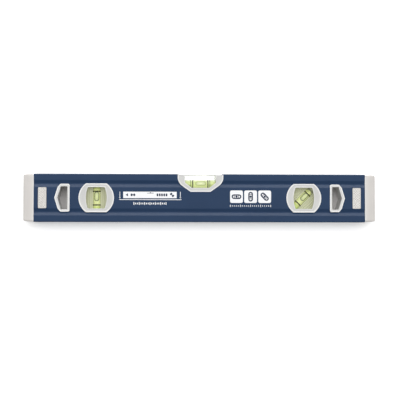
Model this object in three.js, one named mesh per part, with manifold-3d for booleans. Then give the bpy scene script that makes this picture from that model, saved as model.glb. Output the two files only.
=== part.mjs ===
// Box-section spirit level, 400 mm long, with a centre vial, a plumb vial and a 45 degree vial.
// Millimetres. The level lies on its back: +X along its length, +Y towards the measuring edge that
// holds the centre vial, +Z out of its front face. Origin at the middle of the face it lies on.
import * as THREE from "three";
import { mergeVertices } from "three/addons/utils/BufferGeometryUtils.js";
import Module from "manifold-3d";

const wasm = await Module();
wasm.setup();

// ---- driving dimensions -------------------------------------------------------------------------
// The body, an extruded aluminium box with two grooves along each face.
const LEVEL_LENGTH = 400;
const CAP_THICKNESS = 11.7;
const PROFILE_HEIGHT = 54.6;
const PROFILE_DEPTH = 24;
const PROFILE_CORNER = 1.2;
const FACE_WALL = 1.6;
const EDGE_WALL = 2;
const GROOVE = { offset: 16, rim: 3.9, bed: 0.6, depth: 1.5, spread: 0.22 };

const PROUD = 0.7; // how far caps, bezels and trims stand off the painted faces
const SEAT = 0.1; // clearance between the profile and what is fitted to it
const FIT = 0.15; // clearance between two fitted pieces

const CAP = { height: 53.4, corner: 1.6, edge: 1.2 };
const PLUG = { length: 17.2, halfHeight: 25, halfDepth: 8.5, wall: 2, corner: 0.5 };
const PAD = { x: 178.8, width: 9.4, height: 23.7, corner: 1, proud: 0.4, foot: 1.4, footThickness: 1.5 };

// D-shaped hand holes. Corners of the trim and of the opening as [outwards, up, radius], measured
// from the straight side that faces the middle of the level.
const HAND_HOLE = { x: 148, lap: 1.6 };
const HAND_HOLE_TRIM = [
  [0, 15.8, 2],
  [10.4, 15.8, 1.5],
  [13.6, 12.1, 1.5],
  [17.3, 0, 2.5],
];
const HAND_HOLE_OPENING = [
  [2.6, 12.8, 0.6],
  [9.9, 12.8, 0.6],
  [13.8, 0, 1],
];

// The two side vials, each behind a round bezel that is cut flat above and below.
const SIDE_X = 118;
const BEZEL = { radius: 20.05, halfHeight: 16.35 };
const BEZEL_CUTOUT = { radius: 18.6, halfHeight: 13.6 };
const BEZEL_HOLLOW = { radius: 16.2, halfHeight: 12.2 };
const BEZEL_PLATE = 2.1;
const WINDOW = { halfHeight: 12, topHalf: 9.8, bow: 1.9, corner: 1.4 };
const CARRIER = { width: 38, height: 31, corner: 2, halfDepth: 4.5 };
const TUBE = { radius: 4.55, bore: 4.05, half: 13.5, tip: 11.4, dome: 3.2, plug: 1.2 };
const SIDE_RING = { inner: 4.6, outer: 4.85, width: 1, spacing: 15.6 };
const SIDE_BUBBLE = { radius: 2.75, length: 11.2, rise: 0.95 };

// The centre vial, a clear block in a saddle that is open towards the measuring edge. Corners of the
// right half of the saddle and of its window as [x, y].
const SADDLE = [
  [11.4, 7],
  [22.3, 14.8],
  [24.8, 18.2],
  [26, 21.6],
  [26, 27.2],
  [17.6, 26.3],
];
const SADDLE_WINDOW = [
  [10, 11.6],
  [17.6, 17.6],
  [17.6, 30],
];
const SADDLE_CUTOUT = [...SADDLE.slice(0, 4), [26, 40]];
const SADDLE_LAP = 1.2;
const SKIRT_DEPTH = 2.8; // how far the saddle's rim reaches into the profile
const FLANGE = { inner: 17.7, outer: 24.55, bottom: 25.35, top: 26.6 };
const BLOCK = { half: 20.5, bottom: 10.9, top: 24.7, bossTop: 26.5, halfDepth: 8.5, bossDepth: 11.7 };
const CRADLE = { half: 23, bottom: 8.6, top: 24.4, halfDepth: 8.2 };
const BORE = { y: 16.2, radius: 4.75, closedEnd: -18.2, plug: 2 };
const CENTRE_LIQUID = { radius: 4.3, half: 18 };
const CENTRE_RING = { inner: 4.4, outer: 4.65, width: 1.1, spacing: 17.3 };
const CENTRE_BUBBLE = { radius: 2.7, length: 12, rise: 1.3 };

const REST = { plumb: 1.9, diagonal: 2.7, centre: 0.5 }; // where each bubble rests along its vial

const ROUND = 24; // facets of a full turn
const CORNER_FACETS = 3; // facets of a rounded corner
const DOME_FACETS = 5; // facets from the rim of a dome to its tip
const ARC_FACETS = 12; // facets of a long arc

// ---- values worked out from them ----------------------------------------------------------------
const FACE = PROFILE_DEPTH / 2;
const FRONT = FACE + PROUD;
const EDGE = PROFILE_HEIGHT / 2;
const PROFILE_END = LEVEL_LENGTH / 2 - CAP_THICKNESS;
const THROUGH = LEVEL_LENGTH / 10; // half the length of a cutter that passes through the level

const finish = (color, roughness, metalness = 0) =>
  new THREE.MeshStandardMaterial({ color, roughness, metalness });
const BLUE_PAINT = finish(0x364661, 0.45, 0.2);
const LIGHT_PLASTIC = finish(0xd9d5d2, 0.5);
const GRIP_RUBBER = finish(0xd6d1cd, 0.85);
const OLIVE_PLASTIC = finish(0xb9bb96, 0.6);
const WHITE_PLASTIC = finish(0xf0f0ec, 0.5);
const CLEAR_ACRYLIC = finish(0xf4f8ee, 0.08);
const VIAL_LIQUID = finish(0xd2dc80, 0.1);
const VIAL_BUBBLE = finish(0xf2f5c8, 0.1);
const MARKER_BLACK = finish(0x1c1f12, 0.5);

// ---- solids -------------------------------------------------------------------------------------
function solid(geometry) {
  geometry.deleteAttribute("normal");
  geometry.deleteAttribute("uv");
  const merged = mergeVertices(geometry, 1e-3);
  const mesh = new wasm.Mesh({
    numProp: 3,
    vertProperties: new Float32Array(merged.attributes.position.array),
    triVerts: new Uint32Array(merged.index.array),
  });
  return new wasm.Manifold(mesh);
}

function geometryOf(body) {
  const mesh = body.getMesh();
  const geometry = new THREE.BufferGeometry();
  geometry.setAttribute("position", new THREE.BufferAttribute(mesh.vertProperties, 3));
  geometry.setIndex(new THREE.BufferAttribute(mesh.triVerts, 1));
  geometry.computeVertexNormals();
  return geometry;
}

const join = (body, ...others) => others.reduce((whole, other) => whole.add(other), body);
const cut = (body, ...cutters) => cutters.reduce((rest, cutter) => rest.subtract(cutter), body);

// An outline in X and Y, raised from one height to another.
function raised(outline, low, high) {
  const geometry = new THREE.ExtrudeGeometry(outline, {
    depth: high - low,
    bevelEnabled: false,
    curveSegments: outline.facets,
  });
  geometry.translate(0, 0, low);
  return solid(geometry);
}

// An outline in Y and Z, drawn out along X from one place to another, with its ends bevelled.
const ALONG_X = new THREE.Matrix4().makeBasis(
  new THREE.Vector3(0, 1, 0),
  new THREE.Vector3(0, 0, 1),
  new THREE.Vector3(1, 0, 0),
);
function drawnOut(section, from, to, bevel = 0) {
  const geometry = new THREE.ExtrudeGeometry(section, {
    depth: to - from - 2 * bevel,
    bevelEnabled: bevel > 0,
    bevelThickness: bevel,
    bevelSize: bevel,
    bevelOffset: -bevel,
    bevelSegments: CORNER_FACETS,
    curveSegments: section.facets,
  });
  geometry.translate(0, 0, from + bevel);
  geometry.applyMatrix4(ALONG_X);
  return solid(geometry);
}

// A half section of [radius, height] points turned about the Y axis.
function turned(points) {
  return new THREE.LatheGeometry(points.map(([radius, y]) => new THREE.Vector2(radius, y)), ROUND);
}

function box([x0, x1], [y0, y1], [z0, z1]) {
  const geometry = new THREE.BoxGeometry(x1 - x0, y1 - y0, z1 - z0);
  geometry.translate((x0 + x1) / 2, (y0 + y1) / 2, (z0 + z1) / 2);
  return solid(geometry);
}

// ---- outlines -----------------------------------------------------------------------------------
// A polygon of [x, y, radius] corners, each rounded to its radius.
function polygon(corners) {
  const outline = new THREE.Shape();
  outline.facets = CORNER_FACETS;
  corners.forEach(([x, y, radius = 0], i) => {
    const here = new THREE.Vector2(x, y);
    const before = new THREE.Vector2(...corners.at(i - 1)).sub(here).normalize();
    const after = new THREE.Vector2(...corners[(i + 1) % corners.length]).sub(here).normalize();
    const reach = radius / Math.tan(before.angleTo(after) / 2);
    const start = here.clone().addScaledVector(before, reach);
    const end = here.clone().addScaledVector(after, reach);
    if (i === 0) outline.moveTo(start.x, start.y);
    else outline.lineTo(start.x, start.y);
    if (radius > 0) outline.quadraticCurveTo(x, y, end.x, end.y);
  });
  outline.closePath();
  return outline;
}

// The corners of a polygon that runs counter-clockwise, moved in by a distance.
function movedIn(corners, distance) {
  return corners.map(([x, y, radius = 0], i) => {
    const here = new THREE.Vector2(x, y);
    const along = here.clone().sub(new THREE.Vector2(...corners.at(i - 1))).normalize();
    const onward = new THREE.Vector2(...corners[(i + 1) % corners.length]).sub(here).normalize();
    const turn = along.cross(onward);
    const shift = onward.clone().sub(along).multiplyScalar(distance / turn);
    return [x + shift.x, y + shift.y, Math.max(radius - distance, 0)];
  });
}

function rectangle(width, height, corner) {
  const x = width / 2;
  const y = height / 2;
  return polygon([
    [-x, -y, corner],
    [x, -y, corner],
    [x, y, corner],
    [-x, y, corner],
  ]);
}

// The section of the box profile, grown outwards by a clearance or inwards by the walls.
function profileSection(grownFace = 0, grownEdge = grownFace) {
  const y = EDGE + grownEdge;
  const z = FACE + grownFace;
  const rim = GROOVE.rim - GROOVE.spread * grownFace;
  const bed = GROOVE.bed - GROOVE.spread * grownFace;
  const corner = PROFILE_CORNER + Math.min(grownFace, 0) / 2;
  const face = (side) =>
    [-GROOVE.offset, GROOVE.offset].flatMap((middle) => [
      [-side * (middle - rim), side * z],
      [-side * (middle - bed), side * (z - GROOVE.depth)],
      [-side * (middle + bed), side * (z - GROOVE.depth)],
      [-side * (middle + rim), side * z],
    ]);
  return polygon([
    [-y, -z, corner],
    ...face(-1),
    [y, -z, corner],
    [y, z, corner],
    ...face(1),
    [-y, z, corner],
  ]);
}

// A circle cut flat above and below.
function flattenedCircle({ radius, halfHeight }) {
  const angle = Math.asin(halfHeight / radius);
  const outline = new THREE.Shape();
  outline.facets = ARC_FACETS;
  outline.absarc(0, 0, radius, -angle, angle, false);
  outline.absarc(0, 0, radius, Math.PI - angle, Math.PI + angle, false);
  outline.closePath();
  return outline;
}

// The side vial's window: straight above and below, with sides that bow outwards.
function windowOutline() {
  const { halfHeight: y, topHalf: x, bow, corner } = WINDOW;
  const outline = new THREE.Shape();
  outline.facets = CORNER_FACETS * 2;
  outline.moveTo(corner - x, -y);
  outline.lineTo(x - corner, -y);
  outline.quadraticCurveTo(x, -y, x, corner - y);
  outline.quadraticCurveTo(x + 2 * bow, 0, x, y - corner);
  outline.quadraticCurveTo(x, y, x - corner, y);
  outline.lineTo(corner - x, y);
  outline.quadraticCurveTo(-x, y, -x, y - corner);
  outline.quadraticCurveTo(-x - 2 * bow, 0, -x, corner - y);
  outline.quadraticCurveTo(-x, -y, corner - x, -y);
  return outline;
}

// The hand hole at one end, side -1 or 1, with its lower half mirrored from its upper half.
function handHole(half, side, inset = 0) {
  const upper = half.filter(([, y]) => y > 0);
  const lower = upper.map(([x, y, radius]) => [x, -y, radius]);
  const tip = half.filter(([, y]) => y === 0);
  const corners = movedIn([...lower, ...tip, ...upper.reverse()], inset);
  return polygon(corners.map(([x, y, radius]) => [side * (HAND_HOLE.x + x), y, radius]));
}

// The saddle or its window, from the corners of its right half.
function saddle(half, inset = 0) {
  const left = half.map(([x, y]) => [-x, y]).reverse();
  return polygon(movedIn([...half, ...left], inset));
}

// ---- vial pieces, each along Y and centred on its vial -------------------------------------------
const rod = (radius, from, to) => turned([[0, from], [radius, from], [radius, to], [0, to]]);

// Points from the rim of a dome, at height y, to its tip on the axis.
function quarterTurn(radius, height, y) {
  return Array.from({ length: DOME_FACETS + 1 }, (_, i) => {
    const angle = ((i / DOME_FACETS) * Math.PI) / 2;
    return [i === DOME_FACETS ? 0 : radius * Math.cos(angle), y + height * Math.sin(angle)];
  });
}

// A rod with one flat and one domed end.
function domedRod(radius, from, to, dome) {
  const end = quarterTurn(radius, dome, to - dome);
  return turned([[0, from], [radius, from], ...end]);
}

// A rod with two round ends, raised towards the front by its rise.
function capsule(radius, from, to, rise) {
  const lowEnd = quarterTurn(radius, -radius, from + radius).reverse();
  const highEnd = quarterTurn(radius, radius, to - radius);
  const geometry = turned([...lowEnd, ...highEnd]);
  geometry.translate(0, 0, rise);
  return geometry;
}

const bubble = ({ radius, length, rise }) => capsule(radius, -length / 2, length / 2, rise);

function ring({ inner, outer, width }) {
  const y = width / 2;
  return turned([
    [inner, -y],
    [outer, -y],
    [outer, y],
    [inner, y],
    [inner, -y],
  ]);
}

// The liquid, less the way that the bubble travels along its upper side.
const WAY = { wider: 0.35, higher: 0.2, fromEnd: 0.6 };
function liquidWithWay(filling, low, high, { radius, rise }) {
  const way = capsule(radius + WAY.wider, low + WAY.fromEnd, high - WAY.fromEnd, rise + WAY.higher);
  return geometryOf(cut(solid(filling), solid(way)));
}

function tubeGeometry() {
  const outside = rod(TUBE.radius, -TUBE.half, TUBE.half);
  const bore = domedRod(TUBE.bore, -TUBE.half - 1, TUBE.tip, TUBE.dome);
  return geometryOf(cut(solid(outside), solid(bore)));
}

const tubePlugGeometry = () => rod(TUBE.bore - SEAT, -TUBE.half, TUBE.plug - TUBE.half);

function sideLiquidGeometry() {
  const low = TUBE.plug + FIT - TUBE.half;
  const high = TUBE.tip - FIT;
  return liquidWithWay(domedRod(TUBE.bore - SEAT, low, high, TUBE.dome), low, high, SIDE_BUBBLE);
}

// ---- bodies -------------------------------------------------------------------------------------
const throughCutter = (outline) => raised(outline, -THROUGH, THROUGH);

function profileBody() {
  const tube = cut(
    drawnOut(profileSection(), -PROFILE_END, PROFILE_END),
    drawnOut(profileSection(-FACE_WALL, -EDGE_WALL), -PROFILE_END - 1, PROFILE_END + 1),
  );
  const openings = [throughCutter(saddle(SADDLE_CUTOUT, SADDLE_LAP))];
  for (const side of [-1, 1]) {
    const padWindow = rectangle(PAD.width + 2 * FIT, PAD.height + 2 * FIT, PAD.corner);
    openings.push(
      throughCutter(flattenedCircle(BEZEL_CUTOUT)).translate([side * SIDE_X, 0, 0]),
      throughCutter(padWindow).translate([side * PAD.x, 0, 0]),
      throughCutter(handHole(HAND_HOLE_TRIM, side, HAND_HOLE.lap)),
    );
  }
  return cut(tube, ...openings);
}

// What stands off the front face within an outline, following the grooves below it.
function facePlate(outline) {
  const plate = raised(outline, FACE - GROOVE.depth + SEAT, FRONT);
  return cut(plate, drawnOut(profileSection(SEAT), -LEVEL_LENGTH, LEVEL_LENGTH));
}

function endCap(side) {
  const inner = PROFILE_END + SEAT;
  const outer = LEVEL_LENGTH / 2;
  const plugEnd = PROFILE_END - PLUG.length;
  const plugSection = (shrink) =>
    rectangle(2 * (PLUG.halfHeight - shrink), 2 * (PLUG.halfDepth - shrink), PLUG.corner);
  const slab = drawnOut(rectangle(CAP.height, 2 * FRONT, CAP.corner), inner, outer, CAP.edge);
  const plug = drawnOut(plugSection(0), plugEnd, outer - CAP.edge);
  const hollow = drawnOut(plugSection(PLUG.wall), plugEnd - 1, inner);
  const cap = cut(join(slab, plug), hollow);
  return side > 0 ? cap : cap.mirror([1, 0, 0]);
}

function gripPad() {
  const { width, height, corner, foot, footThickness } = PAD;
  const bottom = PLUG.halfDepth + SEAT;
  return join(
    raised(rectangle(width, height, corner), bottom, FACE + PAD.proud),
    raised(rectangle(width + 2 * foot, height, corner), bottom, bottom + footThickness),
  );
}

function handHoleTrim(side) {
  const plate = facePlate(handHole(HAND_HOLE_TRIM, side));
  const sleeve = raised(handHole(HAND_HOLE_TRIM, side, HAND_HOLE.lap + FIT), SEAT / 2, FRONT - SEAT);
  return cut(join(plate, sleeve), throughCutter(handHole(HAND_HOLE_OPENING, side)));
}

function sideBezel() {
  const shrunk = { radius: BEZEL_CUTOUT.radius - FIT, halfHeight: BEZEL_CUTOUT.halfHeight - FIT };
  const plate = facePlate(flattenedCircle(BEZEL));
  const skirt = raised(flattenedCircle(shrunk), CARRIER.halfDepth + SEAT, FRONT - SEAT);
  const hollow = raised(flattenedCircle(BEZEL_HOLLOW), 0, FRONT - BEZEL_PLATE);
  return cut(join(plate, skirt), hollow, raised(windowOutline(), 0, THROUGH));
}

// The plate that holds a side vial, with a slot along the vial, which is turned by an angle.
function carrier(angle) {
  const { width, height, corner, halfDepth } = CARRIER;
  const plate = raised(rectangle(width, height, corner), -halfDepth, halfDepth);
  const slot = box(
    [-SIDE_RING.outer - FIT, SIDE_RING.outer + FIT],
    [-TUBE.half - FIT, TUBE.half + FIT],
    [-THROUGH, THROUGH],
  );
  return cut(plate, slot.rotate([0, 0, THREE.MathUtils.radToDeg(angle)]));
}

function saddleBezel() {
  const plate = facePlate(saddle(SADDLE));
  const skirt = raised(saddle(SADDLE, SADDLE_LAP + FIT), FACE - SKIRT_DEPTH, FRONT - SEAT);
  const flange = box([FLANGE.inner, FLANGE.outer], [FLANGE.bottom, FLANGE.top], [SEAT / 2, FACE]);
  const flanges = [flange, flange.mirror([1, 0, 0])];
  return cut(join(plate, skirt, ...flanges), throughCutter(saddle(SADDLE_WINDOW)));
}

function centreBlock() {
  const { half, bottom, top, halfDepth, bossTop, bossDepth } = BLOCK;
  const slab = box([-half, half], [bottom, top], [-halfDepth, halfDepth]);
  const boss = raised(saddle(SADDLE_WINDOW, FIT), -bossDepth, bossDepth);
  const aboveBoss = box([-THROUGH, THROUGH], [bossTop, THROUGH], [-THROUGH, THROUGH]);
  const bore = rod(BORE.radius, BORE.closedEnd, THROUGH);
  bore.rotateZ(-Math.PI / 2);
  bore.translate(0, BORE.y, 0);
  return cut(join(slab, boss), aboveBoss, solid(bore));
}

function cradle() {
  const { half, bottom, top, halfDepth } = CRADLE;
  const seatHalf = BLOCK.half + FIT;
  const outside = box([-half, half], [bottom, top], [-halfDepth, halfDepth]);
  const seat = box([-seatHalf, seatHalf], [BLOCK.bottom - SEAT, THROUGH], [-THROUGH, THROUGH]);
  return cut(outside, seat);
}

const centrePlugGeometry = () => rod(BORE.radius - SEAT, BLOCK.half - BORE.plug, BLOCK.half);

function centreLiquidGeometry() {
  const { radius, half } = CENTRE_LIQUID;
  return liquidWithWay(domedRod(radius, -half, half, radius / 2), -half, half, CENTRE_BUBBLE);
}

// ---- assembly -----------------------------------------------------------------------------------
const level = new THREE.Group();
level.position.z = FRONT; // every piece is drawn about the level's middle plane

function place(parent, name, geometry, material, x = 0, y = 0, turnX = 0, turnY = 0) {
  const mesh = new THREE.Mesh(geometry, material);
  mesh.name = name;
  mesh.position.set(x, y, 0);
  mesh.rotation.set(turnX, turnY, 0);
  parent.add(mesh);
}

place(level, "profile", geometryOf(profileBody()), BLUE_PAINT);

for (const [end, side] of [["left", -1], ["right", 1]]) {
  const pad = geometryOf(gripPad());
  const trim = geometryOf(handHoleTrim(side));
  place(level, end + "_end_cap", geometryOf(endCap(side)), LIGHT_PLASTIC);
  place(level, end + "_front_grip_pad", pad, GRIP_RUBBER, side * PAD.x);
  place(level, end + "_back_grip_pad", pad, GRIP_RUBBER, side * PAD.x, 0, Math.PI);
  place(level, end + "_front_hand_hole_trim", trim, LIGHT_PLASTIC);
  place(level, end + "_back_hand_hole_trim", trim, LIGHT_PLASTIC, 0, 0, Math.PI);
}

// A group whose Y axis runs along the vial.
function vialGroup(x, y, angle) {
  const group = new THREE.Group();
  group.position.set(x, y, 0);
  group.rotation.z = angle;
  level.add(group);
  return group;
}

for (const [vial, x, angle, rest] of [
  ["plumb", -SIDE_X, 0, REST.plumb],
  ["diagonal", SIDE_X, -Math.PI / 4, REST.diagonal],
]) {
  const bezel = geometryOf(sideBezel());
  const group = vialGroup(x, 0, angle);
  place(level, vial + "_vial_front_bezel", bezel, LIGHT_PLASTIC, x);
  place(level, vial + "_vial_back_bezel", bezel, LIGHT_PLASTIC, x, 0, Math.PI);
  place(level, vial + "_vial_carrier", geometryOf(carrier(angle)), OLIVE_PLASTIC, x);
  place(group, vial + "_vial_tube", tubeGeometry(), CLEAR_ACRYLIC);
  place(group, vial + "_vial_plug", tubePlugGeometry(), WHITE_PLASTIC);
  place(group, vial + "_vial_liquid", sideLiquidGeometry(), VIAL_LIQUID);
  place(group, vial + "_vial_bubble", bubble(SIDE_BUBBLE), VIAL_BUBBLE, 0, rest);
  place(group, vial + "_vial_upper_ring", ring(SIDE_RING), MARKER_BLACK, 0, SIDE_RING.spacing / 2);
  place(group, vial + "_vial_lower_ring", ring(SIDE_RING), MARKER_BLACK, 0, -SIDE_RING.spacing / 2);
}

const centre = vialGroup(0, BORE.y, -Math.PI / 2);
const centreBezel = geometryOf(saddleBezel());
place(level, "centre_vial_front_bezel", centreBezel, LIGHT_PLASTIC);
place(level, "centre_vial_back_bezel", centreBezel, LIGHT_PLASTIC, 0, 0, 0, Math.PI);
place(level, "centre_vial_cradle", geometryOf(cradle()), WHITE_PLASTIC);
place(level, "centre_vial_block", geometryOf(centreBlock()), CLEAR_ACRYLIC);
place(centre, "centre_vial_plug", centrePlugGeometry(), WHITE_PLASTIC);
place(centre, "centre_vial_liquid", centreLiquidGeometry(), VIAL_LIQUID);
place(centre, "centre_vial_bubble", bubble(CENTRE_BUBBLE), VIAL_BUBBLE, 0, REST.centre);
place(centre, "centre_vial_left_ring", ring(CENTRE_RING), MARKER_BLACK, 0, -CENTRE_RING.spacing / 2);
place(centre, "centre_vial_right_ring", ring(CENTRE_RING), MARKER_BLACK, 0, CENTRE_RING.spacing / 2);

export default level;
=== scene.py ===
import math

import bmesh
import bpy
import numpy as np
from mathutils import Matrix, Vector


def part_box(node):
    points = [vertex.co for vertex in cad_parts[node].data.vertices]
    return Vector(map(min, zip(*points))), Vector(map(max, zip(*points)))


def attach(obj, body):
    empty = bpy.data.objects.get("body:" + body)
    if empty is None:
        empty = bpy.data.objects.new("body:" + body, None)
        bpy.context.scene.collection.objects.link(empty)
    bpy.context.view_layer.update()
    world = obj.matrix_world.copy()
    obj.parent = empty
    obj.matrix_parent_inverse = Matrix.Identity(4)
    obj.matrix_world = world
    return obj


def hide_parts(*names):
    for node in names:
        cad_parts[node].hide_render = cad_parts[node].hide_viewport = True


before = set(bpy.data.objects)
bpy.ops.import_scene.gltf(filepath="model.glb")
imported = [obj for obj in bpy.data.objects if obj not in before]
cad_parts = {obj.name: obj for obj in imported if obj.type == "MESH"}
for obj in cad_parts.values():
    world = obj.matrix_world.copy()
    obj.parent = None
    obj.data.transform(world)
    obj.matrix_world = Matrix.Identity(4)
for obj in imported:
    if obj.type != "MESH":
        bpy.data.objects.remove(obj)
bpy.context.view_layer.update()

# A spirit level that lies on its back. Shapes are drawn in millimetres about the level's middle
# plane: +X along the level, +Y towards the edge with the centre vial, +Z out of the front face.
MM = 0.001


def cad_box(node):
    """Lowest and highest corner of a CAD node, in millimetres, in the row frame."""
    low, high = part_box(node)
    return np.array(low) / MM, np.array(high) / MM


def cad_centre(node):
    low, high = cad_box(node)
    return (low + high) / 2


def cad_size(node):
    low, high = cad_box(node)
    return high - low


PROFILE_END, EDGE, FACE = cad_size("profile") / 2  # half of its length, height and depth
LEVEL_END = cad_box("right_end_cap")[1][0]
CAP_INNER = PROFILE_END + 0.1
CAP_HALF_HEIGHT, FRONT = cad_size("right_end_cap")[1:] / 2
MIDDLE = cad_centre("profile")[2]
CENTRE_Y = cad_centre("centre_vial_liquid")[1]
GAP = 0.05  # between the painted face and what lies on it

# ---- outlines ----
LEAST_CORNER = 0.02
LEAST_MOVED_CORNER = 0.05
STRAIGHT_COSINE = -0.9999
STRAIGHT_SPREAD = 0.4  # length that the points of a straight corner take up


def unit(vector):
    return vector / np.linalg.norm(vector)


def corner_arc(before, here, after, radius, steps):
    """Points of the arc that rounds one corner, or points spread along it where it is straight."""
    a = unit(before - here)
    b = unit(after - here)
    cosine = float(np.clip(a @ b, -1, 1))
    if cosine < STRAIGHT_COSINE:
        return [here - a * (t / steps - 0.5) * STRAIGHT_SPREAD for t in range(steps + 1)]
    half = math.acos(cosine) / 2
    reach = radius / math.tan(half)
    middle = here + unit(a + b) * radius / math.sin(half)
    first = here + a * reach - middle
    last = here + b * reach - middle
    sweep = math.pi - 2 * half
    turns = sweep * np.arange(steps + 1) / steps
    shares = [(math.sin(sweep - t) / math.sin(sweep), math.sin(t) / math.sin(sweep)) for t in turns]
    return [middle + first * a + last * b for a, b in shares]


def rounded(corners, steps=6, closed=True):
    """A polygon of (x, y, radius) corners, each one rounded but for the ends of an open one."""
    flat = [np.array(c[:2], float) for c in corners]
    count = len(flat)
    points = []
    for i in range(count) if closed else range(1, count - 1):
        radius = max(corners[i][2], LEAST_CORNER)
        points += corner_arc(flat[i - 1], flat[i], flat[(i + 1) % count], radius, steps)
    return np.array(points if closed else [flat[0], *points, flat[-1]])


def moved_in(corners, distance):
    """The corners of a counter-clockwise polygon, moved in by a distance."""
    flat = [np.array(c[:2], float) for c in corners]
    moved = []
    for i, here in enumerate(flat):
        along = unit(here - flat[i - 1])
        onward = unit(flat[(i + 1) % len(flat)] - here)
        n1 = np.array((-along[1], along[0]))
        n2 = np.array((-onward[1], onward[0]))
        x, y = here + distance * (n1 + n2) / (1 + n1 @ n2)
        convex = along[0] * onward[1] - along[1] * onward[0] > 0
        radius = corners[i][2] - distance if convex else corners[i][2] + distance
        moved.append((x, y, max(radius, LEAST_MOVED_CORNER)))
    return moved


def rectangle(half_width, half_height, radius=0.0, x=0.0, y=0.0):
    return [
        (x - half_width, y - half_height, radius),
        (x + half_width, y - half_height, radius),
        (x + half_width, y + half_height, radius),
        (x - half_width, y + half_height, radius),
    ]


def span(points, count):
    """Points along an open line, closer together at its ends, with the last one left out."""
    points = np.array(points, float)
    lengths = np.r_[0, np.cumsum(np.linalg.norm(np.diff(points, axis=0), axis=1))]
    places = (1 - np.cos(np.pi * np.arange(count) / count)) / 2 * lengths[-1]
    return np.stack([np.interp(places, lengths, points[:, k]) for k in (0, 1)], axis=1)


SIDE_COUNT = 44
TOP_COUNT = 32


def four_sides(right, top):
    """A closed outline from its right and upper sides; the others are these turned round."""
    right = span(right, SIDE_COUNT)
    top = span(top, TOP_COUNT)
    return np.concatenate([right, top, -right, -top])


def flattened_circle(radius, half_height):
    angle = math.asin(half_height / radius)
    turns = np.linspace(-angle, angle, 90)
    right = np.stack([radius * np.cos(turns), radius * np.sin(turns)], axis=1)
    return four_sides(right, [right[-1], right[-1] * (-1, 1)])


def bezier(a, b, c, start=0.0, end=1.0, count=16):
    t = np.linspace(start, end, count)[:, None]
    a, b, c = (np.array(p, float) for p in (a, b, c))
    return (1 - t) ** 2 * a + 2 * t * (1 - t) * b + t**2 * c


WINDOW = {"half_height": 12.0, "half_width": 9.8, "bow": 1.9, "corner": 1.4}


def window_outline(grown=0.0):
    """The side vial's window, straight above and below, with sides that bow outwards."""
    x = WINDOW["half_width"] + grown
    y = WINDOW["half_height"] + grown
    bow = WINDOW["bow"]
    c = WINDOW["corner"] + grown / 2
    lower = bezier((x - c, -y), (x, -y), (x, c - y), 0.5, 1.0)
    side = bezier((x, c - y), (x + 2 * bow, 0), (x, y - c), count=40)
    upper = bezier((x, y - c), (x, y), (x - c, y))
    half = len(upper) // 2
    right = np.concatenate([lower, side[1:], upper[1 : half + 1]])
    top_left = bezier((c - x, y), (-x, y), (-x, y - c))[: half + 1]
    right[0] = right[-1] * (1, -1)
    top_left[-1] = right[-1] * (-1, 1)
    return four_sides(right, np.concatenate([upper[half:], top_left]))


# ---- the profile's section ----
GROOVE = {"offset": 16.0, "rim": 3.9, "bed": 0.6, "depth": 1.5}
GROOVE_RADII = {"rim": 2.2, "bed": 2.0}
GROOVE_SPREAD = 0.22  # how much wider the groove is inside, as a share of the wall
FACE_WALL = 1.6
EDGE_WALL = 2.0


def section_corners(inner=False):
    """Corners of the box section as (y, z, radius), with two grooves along each face."""
    y = EDGE - (EDGE_WALL if inner else 0)
    z = FACE - (FACE_WALL if inner else 0)
    shift = GROOVE_SPREAD * FACE_WALL if inner else 0
    rim = (GROOVE["rim"] + shift, z, GROOVE_RADII["rim"])
    bed = (GROOVE["bed"] + shift, z - GROOVE["depth"], GROOVE_RADII["bed"])
    radius = 0.4 if inner else 1.2
    corners = []
    for side in (-1, 1):
        corners.append((side * y, side * z, radius))
        for middle in (side * GROOVE["offset"], -side * GROOVE["offset"]):
            for sign, (reach, height, corner) in ((1, rim), (1, bed), (-1, bed), (-1, rim)):
                corners.append((middle + sign * side * reach, side * height, corner))
        corners.append((-side * y, side * z, radius))
    return corners


SECTION = rounded(section_corners(), 8)
upper_half = SECTION[SECTION[:, 1] > FACE / 2]
upper_half = upper_half[np.argsort(upper_half[:, 0])]


def on_face(points):
    """Height just above the profile's front face, grooves and all, at each point in X and Y."""
    return np.interp(points[:, 1], upper_half[:, 0], upper_half[:, 1]) + GAP


# ---- solids ----


def at(points, z):
    """An outline in X and Y, lifted to one height or to a height for each point."""
    return np.column_stack([points, np.broadcast_to(z, len(points))])


def across(points, x):
    """An outline in Y and Z, set at one place along the level."""
    return np.column_stack([np.full(len(points), x), points])


def skin(loops, values=None, closed=False):
    """A solid through loops of equal length, capped at both ends or closed into a ring."""
    loops = [np.asarray(loop, float) for loop in loops]
    size = len(loops[0])
    faces = []
    count = len(loops)
    for i in range(count if closed else count - 1):
        a = i * size
        b = (i + 1) % count * size
        for k in range(size):
            n = (k + 1) % size
            faces.append((a + k, a + n, b + n, b + k))
    if not closed:
        faces.append(tuple(range(size))[::-1])
        faces.append(tuple(range((count - 1) * size, count * size)))
    values = [0.0] * count if values is None else values
    return np.concatenate(loops), faces, np.repeat(values, size)


ON_AXIS = 1e-6


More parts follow.
